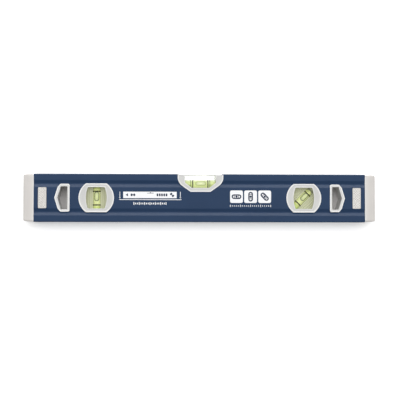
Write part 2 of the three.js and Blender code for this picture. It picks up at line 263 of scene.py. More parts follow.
def lathe(profile, steps=64, values=None):
    """A solid of revolution about the Y axis; its [radius, y] profile may start or end on it."""
    turns = np.arange(steps) * 2 * math.pi / steps
    values = [0.0] * len(profile) if values is None else values
    points, painted_lights, starts = [], [], []
    for (radius, y), value in zip(profile, values):
        starts.append(len(points))
        for turn in turns if radius > ON_AXIS else turns[:1]:
            points.append((radius * math.sin(turn), y, radius * math.cos(turn)))
            painted_lights.append(value)
    on_axis = [radius <= ON_AXIS for radius, _ in profile]
    faces = []
    pairs = [(i, i + 1) for i in range(len(profile) - 1)]
    if not (on_axis[0] and on_axis[-1]):
        pairs.append((len(profile) - 1, 0))
    for i, j in pairs:
        a, b = starts[i], starts[j]
        for k in range(steps):
            n = (k + 1) % steps
            if on_axis[i]:
                faces.append((a, b + n, b + k))
            elif on_axis[j]:
                faces.append((a + k, a + n, b))
            else:
                faces.append((a + k, a + n, b + n, b + k))
    return np.array(points), faces, np.array(painted_lights)


def prism(points, low, high):
    return skin([at(points, low), at(points, high)])


def rows_of(stations):
    """Loops and painted highlight values of [outline, height, painted highlight]; one with no
    height lies on the painted face.
    """
    loops = [at(points, on_face(points) if z is None else z) for points, z, _ in stations]
    return loops, [painted_light for _, _, painted_light in stations]


def slab(corners, low, high, bevel, steps=3):
    """A plate with a rounded outline and chamfered edges, above and below."""
    inner = rounded(moved_in(corners, bevel), steps)
    outer = rounded(corners, steps)
    loops = [at(inner, low), at(outer, low + bevel), at(outer, high - bevel), at(inner, high)]
    return skin(loops)


def mapped(part, function):
    points, faces, values = part
    return function(points), faces, values


def moved(part, x=0.0, y=0.0):
    return mapped(part, lambda p: p + (x, y, 0.0))


def spun(part, angle):
    """Turned about the Z axis."""
    c, s = math.cos(angle), math.sin(angle)
    turn = np.array([[c, -s, 0], [s, c, 0], [0, 0, 1]])
    return mapped(part, lambda p: p @ turn.T)


def turned_over(part):
    """The same piece on the back face, turned half round about the X axis."""
    return mapped(part, lambda p: p * (1, -1, -1))


ENDS = (("left", -1), ("right", 1))
FACES = (("front", lambda part: part), ("back", turned_over))


# ---- materials ----


def linear(*channels):
    """Colour in linear light from 8-bit display values."""
    values = [c / 255 for c in channels]
    return tuple(v / 12.92 if v <= 0.04045 else ((v + 0.055) / 1.055) ** 2.4 for v in values) + (1,)


def map_range(nodes, links, value, low, high, start, end):
    """Takes a value from start...end to low...high."""
    node = nodes.new("ShaderNodeMapRange")
    limits = {"From Min": start, "From Max": end, "To Min": low, "To Max": high}
    for socket, number in limits.items():
        node.inputs[socket].default_value = number
    links.new(value, node.inputs["Value"])
    return node.outputs["Result"]


class Finish:
    """A node-based material whose parts are added one by one."""

    def __init__(self, name, **sockets):
        self.material = bpy.data.materials.new(name)
        self.material.use_nodes = True
        self.nodes = self.material.node_tree.nodes
        self.links = self.material.node_tree.links
        self.shader = self.nodes["Principled BSDF"]
        self.place = self.nodes.new("ShaderNodeTexCoord").outputs["Object"]
        for socket, value in sockets.items():
            self.shader.inputs[socket.replace("_", " ")].default_value = value

    def noise(self, scale, detail=2.0):
        node = self.nodes.new("ShaderNodeTexNoise")
        node.inputs["Scale"].default_value = scale
        node.inputs["Detail"].default_value = detail
        self.links.new(self.place, node.inputs["Vector"])
        return node.outputs["Fac"]

    def ranged(self, value, low, high, start=0.3, end=0.7):
        return map_range(self.nodes, self.links, value, low, high, start, end)

    def mix(self, factor, first, second):
        node = self.nodes.new("ShaderNodeMix")
        node.data_type = "RGBA"
        for socket, value in ((0, factor), (6, first), (7, second)):
            if isinstance(value, (tuple, float)):
                node.inputs[socket].default_value = value
            else:
                self.links.new(value, node.inputs[socket])
        return node.outputs[2]

    def clouds(self, scale, first, second, detail=2.0):
        """One colour that drifts into another."""
        return self.mix(self.ranged(self.noise(scale, detail), 0.0, 1.0), first, second)

    def coordinate(self, axis):
        node = self.nodes.new("ShaderNodeSeparateXYZ")
        self.links.new(self.place, node.inputs["Vector"])
        return node.outputs[axis]

    def math(self, operation, *values):
        node = self.nodes.new("ShaderNodeMath")
        node.operation = operation
        for i, value in enumerate(values):
            self.links.new(value, node.inputs[i])
        return node.outputs[0]

    def painted_light(self):
        node = self.nodes.new("ShaderNodeAttribute")
        node.attribute_name = "painted_light"
        return node.outputs["Fac"]

    def ramp(self, stops):
        """Colours that follow the painted light value: painted highlight or painted shade."""
        node = self.nodes.new("ShaderNodeValToRGB")
        elements = node.color_ramp.elements
        while len(elements) < len(stops):
            elements.new(0.5)
        for element, (place, color) in zip(elements, stops):
            element.position = place
            element.color = color
        self.links.new(self.painted_light(), node.inputs["Fac"])
        return node.outputs["Color"]

    def color(self, value):
        self.links.new(value, self.shader.inputs["Base Color"])
        return value

    def glow(self, value, strength):
        self.links.new(value, self.shader.inputs["Emission Color"])
        self.shader.inputs["Emission Strength"].default_value = strength

    def roughness(self, low, high, scale):
        self.links.new(self.ranged(self.noise(scale), low, high), self.shader.inputs["Roughness"])

    def bump(self, height, strength, distance):
        node = self.nodes.new("ShaderNodeBump")
        node.inputs["Strength"].default_value = strength
        node.inputs["Distance"].default_value = distance
        self.links.new(height, node.inputs["Height"])
        self.links.new(node.outputs["Normal"], self.shader.inputs["Normal"])


def shade(color, factor):
    return tuple(min(c * factor, 1.0) for c in color[:3]) + (1,)


def moulded(name, color, rough, grain, depth, painted_light=None, blotch=0.04, glow=0.0, **sockets):
    """Moulded plastic or paint: cloudy colour, a fine grain, a painted highlight on crests and an
    optional painted glow.
    """
    made = Finish(name, **sockets)
    color = linear(*color)
    tint = made.clouds(45, shade(color, 1 - blotch), shade(color, 1 + blotch), 3)
    speck = made.ranged(made.noise(grain, 1), 0.0, 1.0, 0.35, 0.65)
    tint = made.mix(0.25, tint, made.mix(speck, shade(color, 0.93), shade(color, 1.05)))
    # Painted highlight: the given lighter colour laid over the crests.
    if painted_light:
        tint = made.mix(made.painted_light(), tint, linear(*painted_light))
    made.color(tint)
    if glow:
        # Painted glow: light given off though the plastic is no lamp.
        made.glow(tint, glow)
    made.roughness(rough - 0.05, rough + 0.06, grain / 4)
    made.bump(made.noise(grain, 3), 0.35, depth * MM)
    return made.material


BLUE_PAINT = moulded(
    "blue_powder_coat", (35, 57, 87), 0.42, 2600, 0.02, blotch=0.05, Specular_IOR_Level=0.3
)
# The last colour of the cap, bezel and grip finishes is the painted highlight on their crests.
CAP_PLASTIC = moulded("light_grey_cap", (206, 202, 198), 0.46, 3200, 0.012, (240, 239, 236))
BEZEL_PLASTIC = moulded("light_grey_bezel", (201, 201, 199), 0.42, 3200, 0.012, (238, 238, 236))
GRIP_RUBBER = moulded("pale_grip_rubber", (193, 190, 186), 0.72, 2400, 0.02, (240, 237, 232))
# The olive plastic's glow of 0.3 is painted light, standing for light through the plastic and
# lifting its shade.
OLIVE_PLASTIC = moulded("olive_plastic", (175, 177, 149), 0.5, 2800, 0.012, glow=0.3)
WHITE_PLASTIC = moulded("white_plastic", (238, 239, 235), 0.45, 3000, 0.01)
MARKER_BLACK = moulded(
    "black_ring", (12, 14, 7), 0.6, 4000, 0.004, blotch=0.2, Specular_IOR_Level=0.15
)
MARKER_FAINT = moulded("faint_ring", (88, 106, 44), 0.4, 4000, 0.004, blotch=0.1)
WHITE_INK = moulded("white_ink", (243, 244, 246), 0.5, 6000, 0.002, blotch=0.02)
NAVY_INK = moulded("navy_ink", (30, 44, 70), 0.5, 6000, 0.002, blotch=0.05)


def clear_sleeve():
    made = Finish("clear_sleeve", Alpha=0.12, Roughness=0.04, IOR=1.49)
    made.color(made.clouds(90, linear(236, 241, 214), linear(248, 250, 236)))
    return made.material


def clear_block():
    """Clear acrylic that lets the lamps through to what lies in it and behind it."""
    made = Finish("clear_acrylic", Roughness=0.02, IOR=1.49, Transmission_Weight=1.0)
    made.color(made.clouds(60, linear(250, 252, 248), linear(254, 255, 253)))
    clear = made.nodes.new("ShaderNodeBsdfTransparent")
    path = made.nodes.new("ShaderNodeLightPath")
    choice = made.nodes.new("ShaderNodeMixShader")
    made.links.new(path.outputs["Is Shadow Ray"], choice.inputs["Fac"])
    made.links.new(made.shader.outputs["BSDF"], choice.inputs[1])
    made.links.new(clear.outputs["BSDF"], choice.inputs[2])
    made.links.new(choice.outputs["Shader"], made.nodes["Material Output"].inputs["Surface"])
    return made.material


def liquid(name, glow, middle, between, end, painted_light_fade=None):
    """Yellow-green liquid with painted shade that deepens it towards the vial's ends; it may turn
    paler with painted light between two places in Y, and may glow.
    """
    made = Finish(name, Roughness=0.12, IOR=1.43)
    # Painted shade: the colour deepens from the middle colour to the end colour towards the vial's
    # ends.
    stops = ((0.0, middle), (0.55, between), (1.0, end))
    depth = made.ramp([(place, linear(*color)) for place, color in stops])
    cloudy = made.ranged(made.noise(130, 2), 0.0, 1.0)
    tint = made.mix(made.ranged(cloudy, 0.0, 0.12, 0.0, 1.0), depth, linear(243, 247, 190))
    # Painted light: the liquid turns paler towards +Y between the two places.
    if painted_light_fade:
        painted_light_share = made.ranged(made.coordinate("Y"), 0.0, 1.0, *(y * MM for y in painted_light_fade))
        tint = made.mix(painted_light_share, tint, linear(233, 238, 206))
    # Painted glow, where glow is above zero.
    made.glow(made.color(tint), glow)
    made.bump(made.noise(300, 1), 0.1, 0.05 * MM)
    return made.material


def bubble_finish(name, inside, rim, edge):
    """An air bubble: painted shade where its rim bends the light, a painted highlight down its
    middle, pale inside, with a green tinge and a faint painted glow.
    """
    made = Finish(name, Roughness=0.08, IOR=1.33)
    inside, rim, edge = (linear(*color) for color in (inside, rim, edge))
    # Painted highlight in the middle and painted shade on the rim, by the share of the bubble's
    # width.
    stops = [(0.0, shade(inside, 1.16)), (0.3, inside), (0.62, shade(inside, 0.86))]
    stops += [(0.76, rim), (0.92, shade(rim, 0.8)), (1.0, edge)]
    tint = made.ramp(stops)
    cloudy = made.ranged(made.noise(260, 1), 0.0, 0.08)
    # A faint painted glow.
    made.glow(made.color(made.mix(cloudy, tint, linear(252, 252, 236))), 0.08)
    return made.material


SLEEVE = clear_sleeve()
BLOCK = clear_block()
# The side liquid glows at 0.25: painted light standing for light through the liquid.
SIDE_GREEN = liquid("side_liquid", 0.25, (206, 213, 138), (200, 208, 118), (176, 198, 66))
# Painted light on the centre liquid's upper side, between these two places in Y.
PAINTED_LIGHT_FADE = (CENTRE_Y + 2.2, CENTRE_Y + 5.0)
CENTRE_GREEN = liquid(
    "centre_liquid", 0.0, (183, 193, 128), (179, 190, 122), (174, 187, 118), PAINTED_LIGHT_FADE
)
SIDE_AIR = bubble_finish("side_bubble", (210, 219, 154), (92, 106, 42), (140, 156, 76))
CENTRE_AIR = bubble_finish("centre_bubble", (186, 192, 146), (142, 155, 86), (170, 184, 110))

# ---- pieces ----


def add_object(name, data):
    obj = bpy.data.objects.new(name, data)
    bpy.context.scene.collection.objects.link(obj)
    return obj


def mesh_object(name, parts):
    """One object from closed parts, each of points, faces and painted light values, which light
    crests or shade liquids and bubbles.
    """
    points, faces, values = [], [], []
    for part_points, part_faces, part_values in parts:
        start = len(points)
        points += [Vector((x, y, z + MIDDLE)) * MM for x, y, z in part_points]
        faces += [tuple(i + start for i in face) for face in part_faces]
        values += list(part_values)
    mesh = bpy.data.meshes.new(name)
    mesh.from_pydata(points, [], faces)
    # Painted light: highlights on crests, shade towards the liquids' ends, a bubble's rim and
    # middle.
    painted_light = mesh.attributes.new("painted_light", "FLOAT", "POINT")
    painted_light.data.foreach_set("value", np.array(values, np.float32))
    made = bmesh.new()
    made.from_mesh(mesh)
    bmesh.ops.recalc_face_normals(made, faces=made.faces)
    made.to_mesh(mesh)
    made.free()
    return add_object(name, mesh)


def boolean(obj, cutter, operation):
    """Joins or cuts obj with another object, which is then removed."""
    modifier = obj.modifiers.new("boolean", "BOOLEAN")
    modifier.operation = operation
    modifier.solver = "EXACT"
    modifier.object = cutter
    graph = bpy.context.evaluated_depsgraph_get()
    result = bpy.data.meshes.new_from_object(obj.evaluated_get(graph))
    obj.modifiers.clear()
    old = obj.data
    obj.data = result
    bpy.data.meshes.remove(old)
    bpy.data.objects.remove(cutter)
    result.name = obj.name
    return obj


MERGE_DISTANCE = 1e-7
NORMAL_WEIGHT = 60


def soften(obj, crease):
    """Smooth shading, with sharp edges where faces meet at more than the crease angle."""
    made = bmesh.new()
    made.from_mesh(obj.data)
    bmesh.ops.remove_doubles(made, verts=made.verts, dist=MERGE_DISTANCE)
    for face in made.faces:
        face.smooth = True
    for edge in made.edges:
        edge.smooth = edge.calc_face_angle(0.0) < math.radians(crease)
    made.to_mesh(obj.data)
    made.free()
    weighted = obj.modifiers.new("weighted_normals", "WEIGHTED_NORMAL")
    weighted.keep_sharp = True
    weighted.weight = NORMAL_WEIGHT


def settle(obj, material, slot, replaces=(), body="level", crease=34.0):
    """Gives a piece its finish and its body, and hides the CAD nodes it stands for."""
    soften(obj, crease)
    obj.data.materials.clear()
    obj.data.materials.append(material)
    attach(obj, body)
    if replaces:
        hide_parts(*replaces)


def piece(name, parts, *settings):
    settle(mesh_object(name, parts), *settings)


# ---- profile ----
# Corners of the right half of the saddle and of its window, from the bottom up.
SADDLE_BOTTOM = (11.4, 7.0)
SADDLE_SHOULDER = [(22.3, 14.8), (24.8, 18.2), (26.0, 21.6)]
SADDLE_ARM = [(26.0, 27.2), (17.6, 26.3)]
SADDLE_WINDOW = [(10.0, 11.6), (17.6, 17.6)]
SADDLE_LAP = 1.2  # how far the saddle covers the profile round its opening
# Radius and half height of a side vial's bezel, the profile's opening for it and its own hollow.
BEZEL = (20.05, 16.35)
BEZEL_CUTOUT = (18.6, 13.6)
BEZEL_HOLLOW = (16.2, 12.2)
TRIM_LAP = 1.6
SEAT_LAP = 0.15  # play round what sits in an opening
# Corners of the upper half of a hand hole at the right end, as [outwards, up, radius].
HAND_HOLE_TRIM = [(0, 15.8, 2), (10.4, 15.8, 1.5), (13.6, 12.1, 1.5), (17.3, 0, 2.5)]
HAND_HOLE_OPENING = [(2.6, 12.8, 0.8), (9.9, 12.8, 0.8), (11.03, 9.1, 1), (13.8, 0, 1.2)]
HAND_HOLE_X = cad_box("right_front_hand_hole_trim")[0][0]
SIDE_X = cad_centre("diagonal_vial_front_bezel")[0]
PAD_X = cad_centre("right_front_grip_pad")[0]
PAD_HALF = (4.7, 11.85)
THROUGH = 40.0  # half the length of a cutter that goes right through


def hand_hole(half):
    """Corners of a hand hole at the right end, counter-clockwise, from its upper half."""
    lower = [(x, -y, r) for x, y, r in half[:-1]]
    whole = lower + [half[-1]] + half[:-1][::-1]
    return [(HAND_HOLE_X + x, y, r) for x, y, r in whole]


def mirrored(points):
    return (points * (-1, 1))[::-1]


def both_halves(right):
    """Counter-clockwise corners of a shape that is the same on both sides, from its right half."""
    return right + [(-x, y, r) for x, y, r in right[::-1]]


def make_profile():
    outer = skin([across(SECTION, x) for x in (-PROFILE_END, PROFILE_END)])
    inner_section = rounded(section_corners(inner=True), 3)
    inner = skin([across(inner_section, x) for x in (-PROFILE_END - 1, PROFILE_END + 1)])
    body = mesh_object("profile_body", [outer])
    boolean(body, mesh_object("hollow", [inner]), "DIFFERENCE")
    right = [SADDLE_BOTTOM, *SADDLE_SHOULDER, (SADDLE_ARM[0][0], THROUGH)]
    saddle = both_halves([(x, y, 0.4) for x, y in right])
    saddle = rounded(moved_in(saddle, SADDLE_LAP), 2)
    hole = rounded(moved_in(hand_hole(HAND_HOLE_TRIM), TRIM_LAP), 3)
    pad_half = [half + SEAT_LAP for half in PAD_HALF]
    pad = rounded(rectangle(*pad_half, 1.0, PAD_X), 4)
    outlines = (saddle, hole, mirrored(hole), pad, mirrored(pad))
    cutters = [prism(outline, -THROUGH, THROUGH) for outline in outlines]
    for side in (-1, 1):
        disc = prism(flattened_circle(*BEZEL_CUTOUT), -THROUGH, THROUGH)
        cutters.append(moved(disc, side * SIDE_X))
    boolean(body, mesh_object("openings", cutters), "DIFFERENCE")
    settle(body, BLUE_PAINT, "blue_paint", ["profile"])


make_profile()

# ---- end caps ----
# Stations along the cap as [distance from its inner face, how far it is drawn in, painted
# highlight]; the painted highlight is brightest at the edge against the profile.
CAP_STATIONS = [
    (0.0, 0.95, 0.9),
    (0.5, 0.42, 1.0),
    (0.95, 0.08, 0.9),
    (1.2, 0.0, 0.15),
    (7.6, 0.0, 0.0),
    (7.8, 0.1, 0.2),
    (8.0, 0.2, 0.05),
    (9.6, 0.32, 0.0),
    (10.4, 0.62, 0.1),
    (10.9, 1.0, 0.2),
    (11.2, 1.5, 0.3),
]
CAP_CORNER = 2.0
PLUG_HALF = (25.0, 8.5)
PLUG_WALL = 2.0
PLUG_CORNER = 0.5
PLUG_BEVEL = (0.3, 0.4)
PLUG_END = PROFILE_END - 17.2


def cap_loop(x, half, inset=0.0, radius=PLUG_CORNER):
    return across(rounded(rectangle(half[0] - inset, half[1] - inset, radius)), x)


def end_cap(side):
    """The hollow plug, from its inner wall out to the cap, and then the cap to its end face."""
    loops = [
        cap_loop(CAP_INNER, PLUG_HALF, PLUG_WALL),
        cap_loop(PLUG_END, PLUG_HALF, PLUG_WALL),
        cap_loop(PLUG_END, PLUG_HALF, PLUG_BEVEL[0]),
        cap_loop(PLUG_END + PLUG_BEVEL[1], PLUG_HALF),
        cap_loop(CAP_INNER, PLUG_HALF),
    ]
    values = [0.0] * len(loops)
    stretch = (LEVEL_END - CAP_INNER) / CAP_STATIONS[-1][0]
    for place, inset, painted_light in CAP_STATIONS:
        radius = max(CAP_CORNER - inset, PLUG_CORNER)
        loops.append(cap_loop(CAP_INNER + place * stretch, (CAP_HALF_HEIGHT, FRONT), inset, radius))
        values.append(painted_light)
    return mapped(skin(loops, values), lambda p: p * (side, 1, 1))


for end, side in ENDS:
    piece(end + "_cap", [end_cap(side)], CAP_PLASTIC, "light_plastic", [end + "_end_cap"])

# ---- grip pads ----
PAD_BOTTOM = PLUG_HALF[1] + 0.1
PAD_TOP = cad_box("right_front_grip_pad")[1][2] - MIDDLE
PAD_CORNER = 1.1
# The crossed ridges on a pad: the width at the top is a share of the width at the foot, and the
# ridges carry a painted highlight.
LATTICE = {"pitch": 2.8, "half_width": 0.42, "top": 0.35, "height": 0.26, "root": 0.1, "painted_light": 0.9}
LATTICE_RIM = 0.85
SHORTEST_RIDGE = 0.5


def ridge(start, end, base):
    """A bar with sloping sides along a line in the plane."""
    start, end = np.array(start, float), np.array(end, float)
    along = unit(end - start)
    sideways = np.array((-along[1], along[0]))
    foot = LATTICE["half_width"]
    top = foot * LATTICE["top"]
    low, high = base - LATTICE["root"], base + LATTICE["height"]
    section = [(-foot, low), (foot, low), (top, high), (-top, high)]
    loops = [[(*(point + sideways * u), z) for u, z in section] for point in (start, end)]
    return skin(loops, [LATTICE["painted_light"]] * 2)


def lattice(half_width, half_height, base):
    """Crossing diagonal ridges that fill a rectangle."""
    bars = []
    pitch = LATTICE["pitch"]
    count = int((half_width + half_height) / pitch) + 1
    for slope in (-1, 1):
        for i in range(-count, count + 1):
            middle = (i + 0.5) * pitch
            crossings = sorted(slope * (y - middle) for y in (-half_height, half_height))
            low = max(-half_width, crossings[0])
            high = min(half_width, crossings[1])
            if high - low > SHORTEST_RIDGE:
                bars.append(ridge(*((x, middle + slope * x) for x in (low, high)), base))
    return bars


def grip_pad():
    half_width, half_height = PAD_HALF
    rim = LATTICE_RIM
    floor = PAD_TOP - 0.3
    # [drawn in, height, painted highlight], from the foot up over the rim and down to the lattice;
    # the painted highlight lies on the rim.
    stations = [
        (-1.4, PAD_BOTTOM, 0),
        (-1.4, PAD_BOTTOM + 1.5, 0),
        (0.0, PAD_BOTTOM + 1.5, 0),
        (0.0, PAD_TOP - 0.35, 0.2),
        (0.12, PAD_TOP - 0.1, 0.6),
        (0.4, PAD_TOP, 0.5),
        (rim - 0.35, PAD_TOP, 0.45),
        (rim - 0.1, PAD_TOP - 0.1, 0.3),
        (rim, floor, 0.0),
    ]
    rows = []
    for inset, z, painted_light in stations:
        drawn = max(inset, 0)  # the foot is wider than the pad, but no taller
        radius = max(PAD_CORNER - drawn * 0.6, 0.4)
        corners = rectangle(half_width - inset, half_height - drawn, radius)
        rows.append((rounded(corners, 5), z, painted_light))
    return [skin(*rows_of(rows))] + lattice(half_width - rim, half_height - rim, floor)


for end, side in ENDS:
    for face, turn in FACES:
        pads = [moved(turn(part), side * PAD_X) for part in grip_pad()]
        nodes = [f"{end}_{face}_grip_pad"]
        piece(f"{end}_{face}_pad", pads, GRIP_RUBBER, "grip_rubber", nodes)

# ---- hand hole trims ----


def hand_hole_trim():
    """A trim that lies on the painted face, with a skirt down to the middle of the level."""
    outer = hand_hole(HAND_HOLE_TRIM)
    opening = hand_hole(HAND_HOLE_OPENING)
    skirt = TRIM_LAP + SEAT_LAP
    # [outline, drawn in, height, painted highlight], over the front, down the opening and back up
    # the skirt; the painted highlight lies on the bead and the opening's lip.
    stations = [
        (outer, 0.0, None, 0.3),
        (outer, 0.0, FRONT - 0.45, 0.8),
        (outer, 0.14, FRONT - 0.14, 1.0),
        (outer, 0.45, FRONT, 1.0),
        (outer, 1.15, FRONT - 0.03, 0.9),
        (outer, 1.5, FRONT - 0.22, 0.1),
        (opening, -1.1, FRONT - 0.28, 0.05),
        (opening, -0.7, FRONT - 0.12, 0.5),
        (opening, -0.25, FRONT - 0.18, 0.4),
        (opening, 0.0, FRONT - 0.55, 0.0),
        (opening, 0.0, GAP, 0.0),
        (outer, skirt, GAP, 0.0),
        (outer, skirt, None, 0.0),
    ]
    rows = [(rounded(moved_in(outline, inset)), z, painted_light) for outline, inset, z, painted_light in stations]
    return skin(*rows_of(rows), closed=True)


for end, side in ENDS:
    for face, turn in FACES:
        trim = mapped(turn(hand_hole_trim()), lambda p, s=side: p * (s, 1, 1))
        node = f"{end}_{face}_hand_hole_trim"
        piece(f"{end}_{face}_trim", [trim], BEZEL_PLASTIC, "light_plastic", [node])

# ---- side vials ----
BEZEL_PLATE = 2.1
CARRIER_HALF_DEPTH = 4.5


def rim(inset, size=BEZEL):
    return flattened_circle(size[0] - inset, size[1] - inset)


def side_bezel():
    """A bezel that lies on the painted face, with a hollow skirt down to the carrier."""
    bottom = CARRIER_HALF_DEPTH + 0.1
    # [outline, height, painted highlight], over the front, down the window, out under the plate and
    # back up; the painted highlight lies on the bead and the window's lip.
    stations = [
        (rim(0.0), None, 0.3),
        (rim(0.0), FRONT - 0.5, 0.8),
        (rim(0.16), FRONT - 0.15, 1.0),
        (rim(0.5), FRONT, 1.0),
        (rim(1.1), FRONT - 0.03, 0.9),
        (rim(1.5), FRONT - 0.22, 0.1),
        (0.55 * rim(1.5) + 0.45 * window_outline(1.1), FRONT - 0.4, 0.0),
        (window_outline(1.15), FRONT - 0.34, 0.0),
        (window_outline(0.8), FRONT - 0.14, 0.5),
        (window_outline(0.35), FRONT - 0.1, 0.6),
        (window_outline(0.08), FRONT - 0.35, 0.3),
        (window_outline(0.0), FRONT - 0.7, 0.0),
        (window_outline(0.0), FRONT - BEZEL_PLATE, 0.0),
        (rim(0.0, BEZEL_HOLLOW), FRONT - BEZEL_PLATE, 0.0),
        (rim(0.0, BEZEL_HOLLOW), bottom, 0.0),
        (rim(SEAT_LAP, BEZEL_CUTOUT), bottom, 0.0),
        (rim(SEAT_LAP, BEZEL_CUTOUT), None, 0.0),
    ]
    return skin(*rows_of(stations), closed=True)


CARRIER_HALF = (19.0, 15.5)
CARRIER_FRAME = (16.5, 13.2)
CARRIER_CORNER = 2.0
RIB = {"pitch": 2.5, "height": 0.7, "level": 2.0}
# One rib and the groove before it, as [share of the pitch, share of the height it is down].
RIB_SHAPE = ((-0.5, 1.0), (-0.3, 0.25), (0.0, 0.0), (0.3, 0.25))
TUBE = {"radius": 4.55, "bore": 4.05, "half": 14.6, "tip": 13.1, "dome": 3.6}
SIDE_LIQUID = 4.02
SIDE_BUBBLE = {"half_width": 2.85, "half_length": 5.6}
SIDE_RING = {"inner": 4.58, "outer": 4.85, "width": 1.1}
# The side vial's plug, as [radius, distance from the tube's open end].
VIAL_PLUG = ((0, 0), (3.6, 0), (3.9, 0.15), (3.9, 0.5), (3.6, 0.65), (0, 0.65))


def ribbed_section(half_width):
    """Outline across the vial, in [across, height], with ribs on both faces."""
    count = int(half_width / RIB["pitch"])
    top = []
    for i in range(-count, count + 1):
        for shift, drop in RIB_SHAPE:
            top.append(((i + shift) * RIB["pitch"], RIB["level"] - drop * RIB["height"]))
    return np.array(top + [(x, -z) for x, z in top[::-1]])


def carrier_frame():
    """The thick border that the bezels clamp, round the ribbed middle."""
    loops = []
    for half, grown, z in (
        (CARRIER_HALF, 0.0, -CARRIER_HALF_DEPTH),
        (CARRIER_HALF, 0.0, CARRIER_HALF_DEPTH),
        (CARRIER_FRAME, 0.3, CARRIER_HALF_DEPTH),
        (CARRIER_FRAME, 0.0, -CARRIER_HALF_DEPTH),
    ):
        corners = rectangle(half[0] + grown, half[1] + grown, CARRIER_CORNER)
        loops.append(at(rounded(corners, 4), z))
    return skin(loops, closed=True)


def tube_bed(ring_places):
    """What the carrier leaves free for the tube and its two rings."""
    seat = TUBE["radius"] + 0.1
    wide = SIDE_RING["outer"] + 0.1
    near = SIDE_RING["width"] / 2 + 0.05
    length = TUBE["half"] + 0.15
    profile = [(0, -length), (seat, -length)]
    for place in sorted(ring_places):
        low, high = place - near, place + near
        profile += [(seat, low), (wide, low), (wide, high), (seat, high)]
    return lathe(profile + [(seat, length), (0, length)], 48)


def make_carrier(vial, x, angle, ring_places):
    """The ribbed plate that holds a side vial; its ribs run along the vial."""
    section = ribbed_section(24.0)
    loops = [np.insert(section, 1, y, axis=1) for y in (-30, 30)]
    body = mesh_object(vial + "_carrier", [moved(spun(skin(loops), angle), x)])
    thick = CARRIER_HALF_DEPTH + 1
    half = [length - 0.5 for length in CARRIER_HALF]
    plate = slab(rectangle(*half, CARRIER_CORNER), -thick, thick, 0.1)
    boolean(body, mesh_object("plate", [moved(plate, x)]), "INTERSECT")
    boolean(body, mesh_object("border", [moved(carrier_frame(), x)]), "UNION")
    bed = moved(spun(tube_bed(ring_places), angle), x)
    boolean(body, mesh_object("bed", [bed]), "DIFFERENCE")
    settle(body, OLIVE_PLASTIC, "olive_plastic", [vial + "_vial_carrier"], crease=24.0)


def dome(radius, drop=0.0, steps=10):
    """Profile of the tube's closed end, from its rim to its tip, which may lie lower by a drop."""
    base = TUBE["tip"] - TUBE["dome"] - drop
    turns = np.linspace(0, math.pi / 2, steps + 1)[:-1]
    side = [(radius * math.cos(t), base + TUBE["dome"] * math.sin(t)) for t in turns]
    return side + [(0.0, base + TUBE["dome"])]


def tube():
    radius, bore, half = TUBE["radius"], TUBE["bore"], TUBE["half"]
    outside = [(bore, -half), (radius - 0.15, -half), (radius, -half + 0.15)]
    outside += [(radius, half - 0.4), (radius - 0.12, half - 0.12), (radius - 0.4, half)]
    return lathe(dome(bore)[::-1] + outside + [(0.0, half)])


def side_liquid():
    """The side vial's liquid, with painted shade that deepens its colour from the middle to both
    ends.
    """
    low = 0.8 - TUBE["half"]
    stations = [(low + 0.15, 1.0), (-10.5, 0.85), (-9.2, 0.6), (-8.2, 0.15), (-4.0, 0.0)]
    stations += [(4.0, 0.0), (7.6, 0.1), (8.15, 0.4)]
    end = dome(SIDE_LIQUID, 0.05)
    profile = [(0.0, low), (SIDE_LIQUID - 0.1, low)] + [(SIDE_LIQUID, y) for y, _ in stations] + end
    painted_shades = [1.0, 1.0] + [depth for _, depth in stations]
    painted_shades += [0.45 + 0.4 * i / (len(end) - 1) for i in range(len(end))]
    return lathe(profile, values=painted_shades)


# A bubble's loops, as shares of its width, and their height above the wall; the share also sets the
# bubble's painted highlight and shade.
LENS = {
    "top": (0.02, 0.3, 0.55, 0.72, 0.82, 0.9, 0.96, 1.0),
    "bottom": (1.0, 0.6, 0.02),
    "crown": 0.1,
    "sunk": -0.3,
}


def bubble_lens(radius, half_width, half_length, side, aside=0.0):
    """A bubble under the wall of its vial, whose surface has the given radius, along Y."""
    turns = np.arange(48) * 2 * math.pi / 48
    straight = half_length - half_width
    top = [(s, LENS["crown"] * math.sqrt(1 - s**2)) for s in LENS["top"]]
    bottom = [(s, LENS["sunk"]) for s in LENS["bottom"]]
    loops = []
    for share, lift in top + bottom:
        u = aside + half_width * share * np.cos(turns)
        reach = half_width * share * np.sin(turns)
        v = reach + np.where(np.sin(turns) >= 0, 1, -1) * straight * min(share * 1.3, 1.0)
        loops.append(np.column_stack([u, v, side * np.sqrt((radius + lift) ** 2 - u**2)]))
    return skin(loops, [share for share, _ in top + bottom])


def ring(inner, outer, width, y=0.0, edge=0.08):
    half = width / 2
    upper = [(outer, half - edge), (outer - edge, half), (inner, half)]
    lower = [(radius, -rise) for radius, rise in upper[::-1]]
    return lathe([(radius, y + rise) for radius, rise in lower + upper], steps=72)


